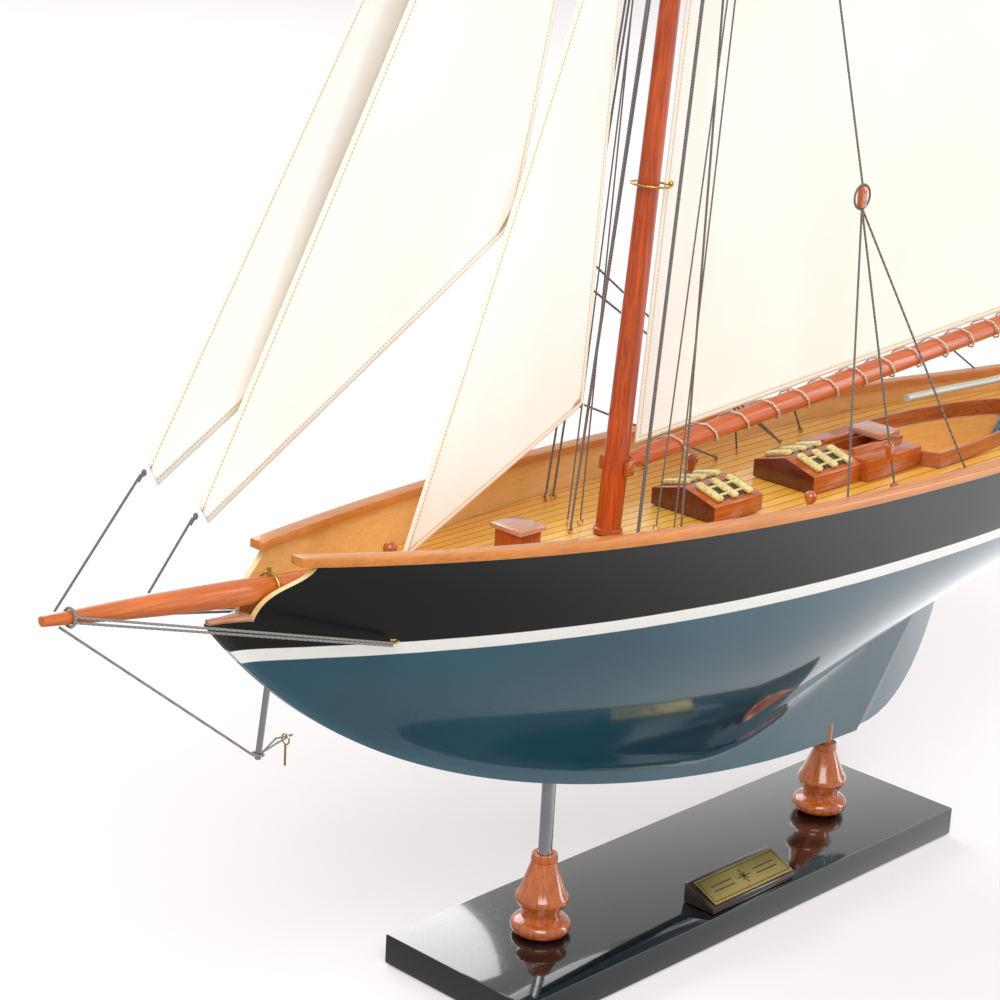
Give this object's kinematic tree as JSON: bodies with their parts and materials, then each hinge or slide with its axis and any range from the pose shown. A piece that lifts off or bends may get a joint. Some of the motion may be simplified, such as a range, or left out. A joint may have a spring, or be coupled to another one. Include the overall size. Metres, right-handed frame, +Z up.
{
  "type": "model sailing ship",
  "caption": "Display model of a gaff-rigged sailing yacht on a wooden stand: planked deck, sails, thread rigging, turning rudder and swinging boom.",
  "frame": {"origin": "centre of the base board's underside", "axes": "+Z up, bow toward -X, starboard side toward +Y; the ship's centre plane is Y = 0"},
  "size_m": [0.632, 0.1236, 0.709],
  "materials": {
    "black_lacquer": "gloss black lacquer on wood",
    "plate_block": "dark stained wood",
    "plate_brass": "antiqued brass",
    "turned_wood": "orange-brown varnish",
    "steel": "bright",
    "hull_paint": "satin black topsides, white stripe, glossy teal underbody",
    "rudder_paint": "glossy teal paint",
    "deck_planks": "satin varnish",
    "rail_wood": "satin varnish",
    "pink_wood": "satin varnish",
    "spar_wood": "satin varnish",
    "fitting_wood": "satin varnish",
    "brass": "polished",
    "silver_paint": "satin",
    "sailcloth": "stitched cotton",
    "thread": "waxed thread",
    "pale_thread": "cotton thread"
  },
  "bodies": {
    "stand": {"base_board": "black_lacquer", "nameplate_block": "plate_block", "nameplate": "plate_brass", "pedestal_front": "turned_wood", "pedestal_rear": "turned_wood", "support_rod": "steel"},
    "ship": {"hull": "hull_paint", "deck": "deck_planks", "beak_deck": "pink_wood", "cap_rail_port": "rail_wood", "cap_rail_starboard": "rail_wood", "taffrail": "rail_wood", "bowsprit": "spar_wood", "gammon_band": "brass", "dolphin_striker": "steel", "mast": "spar_wood", "crosstrees": "spar_wood", "outer_jib": "sailcloth", "inner_jib": "sailcloth", "staysail": "sailcloth", "fore_hatch": "fitting_wood", "fore_hatch_lid": "pink_wood", "skylight_fore": "fitting_wood", "skylight_aft": "fitting_wood", "companion_trunk": "fitting_wood", "sliding_hatch": "pink_wood", "cockpit_coaming": "fitting_wood", "cockpit_sole": "pink_wood", "bollard_fore_port": "fitting_wood", "bollard_fore_starboard": "fitting_wood", "bollard_mid_port": "fitting_wood", "bollard_mid_starboard": "fitting_wood", "runner_block_port": "fitting_wood", "runner_block_starboard": "fitting_wood", "outer_jib_tack_line": "thread", "inner_jib_tack_line": "thread", "jib_halyards": "thread", "staysail_halyard": "thread", "staysail_tack_line": "thread", "bowsprit_stays": "thread", "bobstay": "thread", "fore_halyards": "thread", "port_shrouds": "thread", "starboard_shrouds": "thread", "runner_port": "thread", "runner_starboard": "thread", "jib_sheets": "thread", "staysail_sheet": "thread", "mainsheet": "thread"},
    "rudder": {"rudder": "rudder_paint", "tiller": "silver_paint"},
    "main": {"gooseneck": "fitting_wood", "boom": "spar_wood", "gaff": "spar_wood", "mainsail": "sailcloth", "topsail": "sailcloth", "mast_hoop": "brass", "peak_halyard": "thread", "foot_lacing": "pale_thread"},
    "pin": {"spare_eye_pin": "brass"}
  },
  "joints": [
    {"name": "ship_lift", "type": "slide", "parent": "stand", "child": "ship", "axis": [0, 0, 1], "range_m": [0, 0.06]},
    {"name": "rudder_turn", "type": "hinge", "parent": "ship", "child": "rudder", "pos_m": [0.148, 0, 0.0984], "axis": [0.5871, 0, 0.8095], "range_deg": [-25, 25]},
    {"name": "main_swing", "type": "hinge", "parent": "ship", "child": "main", "pos_m": [-0.0656, 0, 0.1757], "axis": [0.0732, 0, 0.9973], "range_deg": [-10, 10]},
    {"name": "pin_swing", "type": "hinge", "parent": "ship", "child": "pin", "pos_m": [-0.2284, 0, 0.13534], "axis": [1, 0, 0], "range_deg": [-40, 40]}
  ]
}
